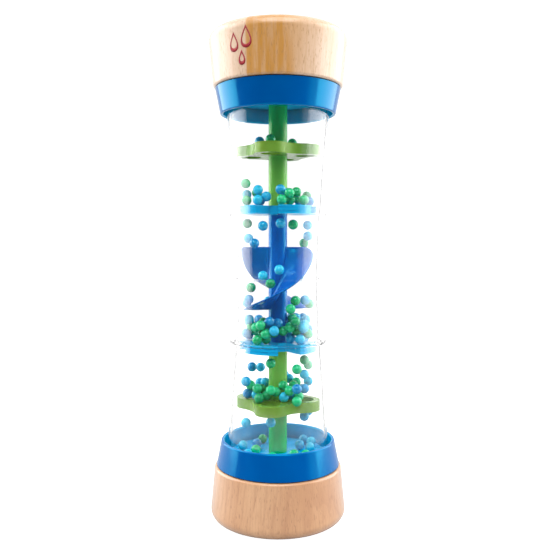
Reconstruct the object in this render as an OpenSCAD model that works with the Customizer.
// Rainstick: a small bead rainmaker for a baby's hand. Two turned beech end caps
// carry blue plastic collars, and a waisted clear tube between them holds a
// green and blue core and the loose beads that trickle down it.
// The upper half is the lower half turned half a turn about the X axis.

/* [Overall] */
// Height from one end face to the other
total_h = 199; // [195:1:205]

/* [End caps] */
// Height of each beech cap
cap_h = 22; // [20:0.5:24]
// Widest radius, near the end face
cap_r = 28; // [27:0.5:30]
// Radius where the cap meets the collar
cap_collar_r = 26.4; // [26:0.1:27]
// Rounding of the end face's edge
cap_round = 4; // [3:0.5:5]
// Rounding of the edge at the collar
cap_inner_round = 1; // [0.5:0.1:1.5]

/* [Collars] */
// Visible height of each collar
collar_h = 10.8; // [10:0.1:12]
// Radius against the wood
collar_base_r = 25.5; // [25:0.1:26]
// Radius at the rim
collar_rim_r = 23.6; // [23:0.1:24]
// Wall thickness of the skirt
collar_wall = 1.4; // [1.2:0.1:1.6]
// Thickness of the solid base that carries the tube
collar_base_t = 3; // [3:0.5:4]
// Radius of the spigot that centres the collar in the wood
spigot_r = 10; // [8:0.5:11]
// Length of the spigot
spigot_h = 3; // [2:0.5:4]

/* [Clear tube] */
// Wall thickness
tube_wall = 1.2; // [1:0.1:1.4]
// Outer radius of the end sections at the collar
tube_end_r = 21.3; // [21:0.1:21.5]
// Outer radius of the end sections at the flange
tube_flange_end_r = 18.1; // [18:0.1:18.4]
// Outer radius of the middle sections at the flange
tube_mid_end_r = 17.6; // [17.4:0.1:17.8]
// Outer radius at the waist, half way up
tube_waist_r = 16.8; // [16.7:0.1:17]
// Distance of the flange joints from the middle of the tube
flange_from_mid = 25.9; // [25:0.1:27]
// Radius of the flanges
flange_r = 19.9; // [19.5:0.1:20.5]
// Thickness of one flange; two of them meet at a joint
flange_t = 0.5; // [0.4:0.1:0.7]
// How far the waist seam stands out from the wall
seam_out = 0.4; // [0.3:0.1:0.6]
// Height of one half of the waist seam
seam_t = 0.3; // [0.2:0.1:0.5]

/* [Core] */
// Radius of the round stems
stem_r = 3.85; // [3.7:0.05:4]
// Thickness of the floor plates
floor_t = 2; // [1.5:0.5:2.5]
// Height of the lower sieve's underside
sieve_z = 45.4; // [44:0.2:47]
// Thickness of the sieves
sieve_t = 4.2; // [3.6:0.2:4.6]
// Radius of the four sieve holes
sieve_hole_r = 4; // [3.6:0.1:4.2]
// Distance of the sieve holes from the axis
sieve_hole_at = 11.3; // [11:0.1:11.4]
// Width of the rim of plastic around a sieve hole
sieve_rim = 2.4; // [2:0.1:2.4]
// Turn of the sieves' holes about the axis, in degrees
sieve_turn = -15; // [-20:1:-10]
// Height of the lower divider's underside
divider_z = 69.8; // [69:0.2:70]
// Thickness of the dividers
divider_t = 3.5; // [3:0.1:3.5]
// Radius of the dividers
divider_r = 16; // [15:0.1:16.2]
// Radius where the slots of a divider begin
slot_from_r = 6.2; // [6:0.1:7]
// Width of a divider's slots, in degrees
slot_deg = 34; // [32:1:38]
// Turn of the lower divider's slots about the axis, in degrees
slot_turn = -90; // [-95:1:-85]

/* [Spiral] */
// Height of the twisted blades
spiral_h = 26; // [24:0.5:27]
// Radius of the blades
spiral_r = 15.2; // [14.8:0.1:15.3]
// Thickness of the blades
blade_t = 1.5; // [1.2:0.1:1.8]
// How far the blades turn from top to bottom, in degrees
spiral_turn = 160; // [155:5:165]
// Direction of the blade that comes round the front, at its top
front_blade_deg = -6; // [-8:1:-4]
// Rounding of its top corner
front_blade_corner = 4.5; // [3:0.5:6]
// Direction of the blade that goes round the back, at its top
back_blade_deg = 186; // [184:1:188]
// Rounding of its top corner
back_blade_corner = 1; // [0.5:0.5:2]

/* [Screws] */
// Radius of a screw's shank
screw_r = 1.5; // [1.3:0.1:1.6]
// Length of a screw from the face of its head
screw_len = 14; // [12:1:16]
// Distance of the screws from the axis
screw_at = 15; // [14:0.5:16]

/* [Beads] */
// Diameter of a bead
bead_d = 4; // [3.8:0.1:4]
// Beads on the bottom floor
floor_count = 14; // [6:1:16]
// Beads heaped on the lower sieve
lower_sieve_count = 26; // [12:1:28]
// Beads heaped on the lower divider
lower_divider_count = 52; // [20:1:52]
// Beads on the upper divider
upper_divider_count = 24; // [12:1:26]

/* [Hidden] */
$fn = 96;

wood = "burlywood";
collar_blue = "royalblue";
core_blue = "dodgerblue";
core_green = "yellowgreen";
bead_green = "mediumseagreen";
bead_blue = "deepskyblue";

// Small gap left between pieces that fit into each other
fit = 0.05;
mid_z = total_h / 2;
tube_z = cap_h + collar_base_t;
floor_top_z = tube_z + floor_t;
flange_z = mid_z - flange_from_mid;
sieve_top_z = sieve_z + sieve_t;
divider_top_z = divider_z + divider_t;
upper_divider_top_z = total_h - divider_z;
upper_sieve_top_z = total_h - sieve_z;
spiral_top_z = mid_z + spiral_h / 2;
stem_end_z = divider_z + divider_t / 2;
screw_head_r = 2 * screw_r;
screw_head_h = 1.6;
bead_r = bead_d / 2;

// Turns a lower piece over to make its upper twin
module flip() {
    translate([0, 0, total_h])
        rotate([180, 0, 0])
            children();
}

// Places its children at each of the three screws
module at_screws() {
    first_deg = 30;
    for (k = [0 : 2])
        rotate([0, 0, first_deg + 120 * k])
            translate([screw_at, 0, 0])
                children();
}

// A countersunk screw, its head's face at the top of the collar's base
module screw(gap) {
    tip_h = 3;
    tip_r = 0.3;
    translate([0, 0, tube_z - screw_len + tip_h])
        cylinder(h = screw_len - tip_h - screw_head_h / 2, r = screw_r + gap);
    translate([0, 0, tube_z - screw_len - gap])
        cylinder(h = tip_h + gap, r1 = tip_r + gap, r2 = screw_r + gap);
    translate([0, 0, tube_z - screw_head_h])
        cylinder(h = screw_head_h, r1 = screw_r + gap, r2 = screw_head_r + gap);
}

// A cross recess in a screw's head
module cross_recess() {
    translate([0, 0, tube_z - 0.5])
        for (turn = [0, 90])
            rotate([0, 0, turn])
                cube([3.2, 0.7, 1.2], center = true);
}

// ---- End caps ----

// Half section of a cap: a taper, rounded at the end face and at the collar
module cap_section() {
    side_lean = atan((cap_r - cap_collar_r) / (cap_h - cap_round));
    end_x = cap_r - cap_round;
    top_x = cap_collar_r - cap_inner_round;
    side_x = cos(side_lean);
    side_y = sin(side_lean);
    polygon([
        [0, 0],
        [end_x, 0],
        [end_x + cap_round * side_x, cap_round + cap_round * side_y],
        [top_x + cap_inner_round * side_x, cap_h - cap_inner_round + cap_inner_round * side_y],
        [top_x, cap_h],
        [0, cap_h]
    ]);
    translate([end_x, cap_round])
        circle(r = cap_round);
    translate([top_x, cap_h - cap_inner_round])
        circle(r = cap_inner_round);
}

module cap() {
    difference() {
        rotate_extrude()
            cap_section();
        translate([0, 0, cap_h - spigot_h - 2 * fit])
            cylinder(h = spigot_h + 1, r = spigot_r + fit);
        at_screws()
            screw(fit);
    }
}

module bottom_cap() {
    color(wood)
        cap();
}

module top_cap() {
    color(wood)
        flip()
            cap();
}

// ---- Collars, floor plates and screws ----

// Half section of a collar: base, tapered skirt and a fully rounded rim
module collar_section() {
    rim_r = collar_wall / 2;
    rim_x = collar_rim_r - rim_r;
    rim_z = cap_h + collar_h - rim_r;
    foot = 0.5;
    polygon([
        [0, cap_h],
        [collar_base_r - foot, cap_h],
        [collar_base_r, cap_h + foot],
        [collar_rim_r, rim_z],
        [collar_rim_r - collar_wall, rim_z],
        [collar_rim_r - collar_wall, tube_z],
        [0, tube_z]
    ]);
    translate([rim_x, rim_z])
        circle(r = rim_r);
}

module collar() {
    difference() {
        union() {
            rotate_extrude()
                collar_section();
            translate([0, 0, cap_h - spigot_h])
                cylinder(h = spigot_h + 1, r = spigot_r);
        }
        at_screws()
            screw(fit);
    }
}

module bottom_collar() {
    color(collar_blue)
        collar();
}

module top_collar() {
    color(collar_blue)
        flip()
            collar();
}

// Round plate over the screw heads, with a socket for the stem
module floor_plate() {
    difference() {
        translate([0, 0, tube_z])
            cylinder(h = floor_t, r = end_tube_r(floor_top_z) - tube_wall - 2 * fit);
        translate([0, 0, tube_z - 1])
            cylinder(h = floor_t + 2, r = stem_r + fit);
    }
}

module bottom_floor() {
    color(collar_blue)
        floor_plate();
}

module top_floor() {
    color(collar_blue)
        flip()
            floor_plate();
}

module screw_set() {
    at_screws()
        difference() {
            screw(0);
            cross_recess();
        }
}

module bottom_screws() {
    color("silver")
        screw_set();
}

module top_screws() {
    color("silver")
        flip()
            screw_set();
}

// ---- Clear tube ----

// Outer radius of an end section at a height
function end_tube_r(z) =
    tube_end_r + (tube_flange_end_r - tube_end_r) * (z - tube_z) / (flange_z - tube_z);

// Half section of a tapered shell from z0 to z1, whose outer radius goes from r0 to r1.
// foot and head are the flanges at its ends, as [radius, thickness]; 0 means none.
module shell_section(z0, z1, r0, r1, foot, head) {
    function wall_r(z) = r0 + (r1 - r0) * (z - z0) / (z1 - z0);
    foot_z = z0 + foot[1];
    head_z = z1 - head[1];
    polygon(concat(
        [[r0 - tube_wall, z0]],
        foot[1] > 0 ? [[foot[0], z0], [foot[0], foot_z]] : [],
        [[wall_r(foot_z), foot_z], [wall_r(head_z), head_z]],
        head[1] > 0 ? [[head[0], head_z], [head[0], z1]] : [],
        [[r1 - tube_wall, z1]]
    ));
}

module end_tube() {
    rotate_extrude()
        shell_section(
            tube_z, flange_z, tube_end_r, tube_flange_end_r,
            foot = [0, 0], head = [flange_r, flange_t]
        );
}

module middle_tube() {
    rotate_extrude()
        shell_section(
            flange_z, mid_z, tube_mid_end_r, tube_waist_r,
            foot = [flange_r, flange_t], head = [tube_waist_r + seam_out, seam_t]
        );
}

module lower_tube() {
    color("white", 0.3)
        end_tube();
}

module lower_middle_tube() {
    color("white", 0.3)
        middle_tube();
}

module upper_middle_tube() {
    color("white", 0.3)
        flip()
            middle_tube();
}

module upper_tube() {
    color("white", 0.3)
        flip()
            end_tube();
}

// ---- Core ----

module stem() {
    translate([0, 0, tube_z])
        cylinder(h = stem_end_z - tube_z - fit / 2, r = stem_r);
}

module lower_stem() {
    color(core_green)
        stem();
}

module upper_stem() {
    color(core_green)
        flip()
            stem();
}

// Four-lobed outline: a lobe around each hole, joined by smooth hollows
module clover() {
    lobe_r = sieve_hole_r + sieve_rim;
    hollow_r = 12;
    reach = lobe_r + hollow_r;
    half_span = sieve_hole_at / sqrt(2);
    hollow_at = half_span + sqrt(pow(reach, 2) - pow(half_span, 2));
    hollow = [hollow_at, hollow_at] / sqrt(2);
    lobe = [sieve_hole_at, 0];
    touch = lobe + (hollow - lobe) * lobe_r / reach;
    difference() {
        for (k = [0 : 3])
            rotate(90 * k) {
                translate(lobe)
                    circle(r = lobe_r);
                polygon([[0, 0], lobe, touch, [touch[1], touch[0]], [0, sieve_hole_at]]);
            }
        for (k = [0 : 3])
            rotate(90 * k)
                translate(hollow)
                    circle(r = hollow_r);
    }
}

module sieve(turn) {
    translate([0, 0, sieve_z])
        rotate([0, 0, turn])
            linear_extrude(height = sieve_t)
                difference() {
                    clover();
                    circle(r = stem_r + fit);
                    for (k = [0 : 3])
                        rotate(90 * k)
                            translate([sieve_hole_at, 0])
                                circle(r = sieve_hole_r);
                }
}

module lower_sieve() {
    color(core_green)
        sieve(sieve_turn);
}

// Its holes stand over those of the lower sieve
module upper_sieve() {
    color(core_green)
        flip()
            sieve(-sieve_turn);
}

// One wedge-shaped slot, open at the edge of the plate
module slot() {
    past_r = divider_r + 3;
    polygon([
        [slot_from_r, 0],
        [past_r, 0],
        past_r * [cos(slot_deg), sin(slot_deg)],
        slot_from_r * [cos(slot_deg), sin(slot_deg)]
    ]);
}

// Round plate with two grooves around its edge and four slots for the beads
module divider() {
    groove = 0.35;
    band = divider_t / 5;
    bore_r = stem_r + fit;
    translate([0, 0, divider_z])
        difference() {
            rotate_extrude()
                polygon([
                    [bore_r, 0],
                    [divider_r, 0],
                    [divider_r, band],
                    [divider_r - groove, band],
                    [divider_r - groove, 2 * band],
                    [divider_r, 2 * band],
                    [divider_r, 3 * band],
                    [divider_r - groove, 3 * band],
                    [divider_r - groove, 4 * band],
                    [divider_r, 4 * band],
                    [divider_r, divider_t],
                    [bore_r, divider_t]
                ]);
            for (k = [0 : 3])
                rotate([0, 0, slot_turn + 90 * k])
                    translate([0, 0, -1])
                        linear_extrude(height = divider_t + 2)
                            slot();
        }
}

module lower_divider() {
    color(core_blue)
        divider();
}

module upper_divider() {
    color(core_blue)
        flip()
            divider();
}

// ---- Spiral ----

// Part of the whole turn made at a depth t, from 0 at the top to 1 at the bottom:
// steep at the top and flatter towards the bottom
function turned(t) = spiral_turn * (t + pow(t, 3)) / 2;

// Radius of a blade at a depth below the top, with its top corner rounded off
function blade_reach(depth, corner) =
    depth >= corner ? spiral_r
    : spiral_r - corner + sqrt(pow(corner, 2) - pow(corner - depth, 2));

// One twisted blade: four points across it at each level, joined by triangles
module blade(start_deg, corner) {
    steps = 52;
    across = 3;
    from_r = stem_r + fit;
    ring = 2 * (across + 1);
    points = [
        for (i = [0 : steps])
            let (t = i / steps, phase = start_deg - turned(t))
                for (j = [0 : ring - 1])
                    let (
                        front = j > across,
                        step = front ? ring - 1 - j : j,
                        reach = blade_reach(t * spiral_h, corner),
                        r = from_r + (reach - from_r) * step / across,
                        side = front ? blade_t / 2 : -blade_t / 2
                    )
                        [
                            r * cos(phase) - side * sin(phase),
                            r * sin(phase) + side * cos(phase),
                            spiral_top_z - t * spiral_h
                        ]
    ];
    walls = [
        for (i = [0 : steps - 1])
            for (j = [0 : ring - 1])
                let (
                    a = i * ring + j,
                    b = i * ring + (j + 1) % ring,
                    c = b + ring,
                    d = a + ring
                )
                    each [[a, b, c], [a, c, d]]
    ];
    // Each end is closed by one quad for each step across the blade
    ends = [
        for (j = [0 : across - 1])
            let (k = ring - 1 - j, base = steps * ring)
                each [
                    [k, k - 1, j + 1, j],
                    [base + j, base + j + 1, base + k - 1, base + k]
                ]
    ];
    polyhedron(points = points, faces = concat(walls, ends));
}

module middle_stem() {
    color(core_blue)
        translate([0, 0, stem_end_z + fit / 2])
            cylinder(h = total_h - 2 * stem_end_z - fit, r = stem_r);
}

module spiral() {
    color(core_blue) {
        blade(front_blade_deg, front_blade_corner);
        blade(back_blade_deg, back_blade_corner);
    }
}

// ---- Beads ----

// Room that a bead leaves around itself
bead_gap = 0.06;
// Closest that a bead's centre comes to the axis
near_r = stem_r + bead_r + 2 * bead_gap;
// Places tried for each bead of a heap; the lowest one is taken
tries = 7;
// Room left between the lower divider's heap and the spiral
under_spiral = 1.1;

// The eight columns down which beads fall past the lower sieve: its four holes,
// and the four hollows between its lobes
past_lobes_r = 15;
fall_columns = [
    for (k = [0 : 3])
        each [
            sieve_hole_at * [cos(sieve_turn + 90 * k), sin(sieve_turn + 90 * k)],
            past_lobes_r * [cos(sieve_turn + 45 + 90 * k), sin(sieve_turn + 45 + 90 * k)]
        ]
];

// Heights at which the beads under [x, y] in a heap stop a bead dropped there
function stops(x, y, heap) = [
    for (b = heap)
        let (apart = norm([x - b[0], y - b[1]]))
            if (apart < bead_d + bead_gap)
                b[2] + sqrt(pow(bead_d + bead_gap, 2) - pow(apart, 2))
];

// Whether [x, y] is clear of the columns of falling beads
function off_columns(x, y) =
    min([for (c = fall_columns) norm([x, y] - c)]) > bead_d + 2 * bead_gap;

// Whether [x, y] is over the solid part of a divider whose slots start at a direction
function on_divider(x, y, turn) =
    let (past = (atan2(y, x) - turn + 720) % 90, edge = asin(1 / norm([x, y])))
        past > slot_deg + edge && past < 90 - edge;

// Whether the plate itself holds up a bead over [x, y]
function on_plate(x, y, kind, turn) =
    kind == "sieve" ? off_columns(x, y)
    : kind == "divider" ? on_divider(x, y, turn)
    : true;

// The first of the lowest places in a list of [x, y, z]
function lowest(places) =
    let (low = min([for (p = places) p[2]]))
        [for (p = places) if (p[2] == low) p][0];

// Builds a heap bead by bead. Each bead is dropped at a few random places between
// the stem and far_r, and stays where it comes to rest lowest, never above max_z.
// Over an opening it needs other beads to lean on, and over a falling column it
// can't stay at all. The heap ends early if no place is left.
function heap(count, seed, far_r, plate_z, kind, max_z = total_h, turn = 0, done = []) =
    len(done) == count ? done
    : let (
        draws = 60,
        draw = rands(0, 1, draws, seed + len(done)),
        places = [
            for (k = [0 : draws / 2 - 1])
                let (
                    a = 360 * draw[2 * k],
                    spread = far_r * far_r - near_r * near_r,
                    r = sqrt(near_r * near_r + draw[2 * k + 1] * spread),
                    x = r * cos(a),
                    y = r * sin(a),
                    on = stops(x, y, done),
                    carried = on_plate(x, y, kind, turn),
                    z = max(concat([plate_z + bead_r + bead_gap], on))
                )
                    if (z <= max_z && (carried || (kind == "divider" && len(on) > 1)))
                        [x, y, z]
        ],
        few = [for (k = [0 : 1 : min(tries, len(places)) - 1]) places[k]]
    )
        len(few) == 0 ? done
        : heap(count, seed, far_r, plate_z, kind, max_z, turn, concat(done, [lowest(few)]));

floor_heap = heap(floor_count, 255, 16.8, floor_top_z, "plain");
lower_sieve_heap = heap(lower_sieve_count, 505, 13, sieve_top_z, "sieve");
lower_divider_heap = heap(
    lower_divider_count, 420, 13.7, divider_top_z, "divider",
    max_z = spiral_top_z - spiral_h - bead_r - under_spiral, turn = slot_turn
);
upper_divider_heap = concat(
    heap(
        upper_divider_count, 840, 14.2, upper_divider_top_z, "divider",
        turn = -slot_turn - slot_deg
    ),
    [[-13, -6.5, 138]]
);
upper_sieve_heap = [
    for (p = [[-3, -6.5], [-7.5, 0.5], [6, 6]])
        [each p, upper_sieve_top_z + bead_r + bead_gap]
];

// Falling past the lower sieve, as [column, height of the bead]
lower_falling = [
    for (f = [
        [0, 66], [6, 66], [7, 64], [4, 62], [1, 62], [5, 58], [2, 57], [3, 60],
        [7, 56], [0, 60], [1, 55], [6, 55], [4, 53], [7, 51], [2, 51.5], [0, 54],
        [6, 42], [0, 42.5], [1, 42], [5, 41]
    ])
        [each fall_columns[f[0]], f[1]]
];

// Around the lower half of the spiral, as [x, y, z]
spiral_falling = [
    [-11, -5, 96], [-12, -3, 91], [7, -9, 91], [11, -6, 91], [13, -1, 89], [-13, 3, 89],
    [5, -12, 88], [-4, 12, 89], [9, 8, 100], [-6, -9, 101], [0.5, -9.5, 103.5],
    [-3, -11, 98]
];

// Between the upper divider and the spiral, as [x, y, z]
upper_falling = [
    [-12.5, -4, 122], [-6, -9, 121], [1, -11, 122], [6, -9, 121.5], [12.5, 4, 121.5],
    [-12, -5, 116], [-9.5, -8.5, 114], [11, 5, 114], [12.5, 2.5, 117]
];

// Whether bead i of a group, at p, is green. Most are in the middle of the lower half's
// front and on the right of the upper half, and one in four elsewhere.
function is_green(i, p) =
    let (many = p[2] < mid_z ? abs(p[0]) < 8 && p[1] < 0 : p[0] > 4)
        many ? i % 4 > 0 : i % 4 == 0;

// The beads of one colour in a group
module beads(places, green) {
    for (i = [0 : len(places) - 1])
        if (is_green(i, places[i]) == green)
            translate(places[i])
                sphere(d = bead_d);
}

module green_beads(places) {
    color(bead_green)
        beads(places, true);
}

module blue_beads(places) {
    color(bead_blue)
        beads(places, false);
}

bottom_cap();
top_cap();
bottom_collar();
top_collar();
bottom_floor();
top_floor();
bottom_screws();
top_screws();
lower_tube();
lower_middle_tube();
upper_middle_tube();
upper_tube();
lower_stem();
upper_stem();
lower_sieve();
upper_sieve();
lower_divider();
upper_divider();
middle_stem();
spiral();
green_beads(floor_heap);  // floor_beads_green
blue_beads(floor_heap);  // floor_beads_blue
green_beads(lower_sieve_heap);  // lower_sieve_beads_green
blue_beads(lower_sieve_heap);  // lower_sieve_beads_blue
green_beads(lower_falling);  // lower_falling_beads_green
blue_beads(lower_falling);  // lower_falling_beads_blue
green_beads(lower_divider_heap);  // lower_divider_beads_green
blue_beads(lower_divider_heap);  // lower_divider_beads_blue
green_beads(spiral_falling);  // spiral_beads_green
blue_beads(spiral_falling);  // spiral_beads_blue
green_beads(upper_falling);  // upper_falling_beads_green
blue_beads(upper_falling);  // upper_falling_beads_blue
green_beads(upper_divider_heap);  // upper_divider_beads_green
blue_beads(upper_divider_heap);  // upper_divider_beads_blue
green_beads(upper_sieve_heap);  // upper_sieve_beads_green
blue_beads(upper_sieve_heap);  // upper_sieve_beads_blue
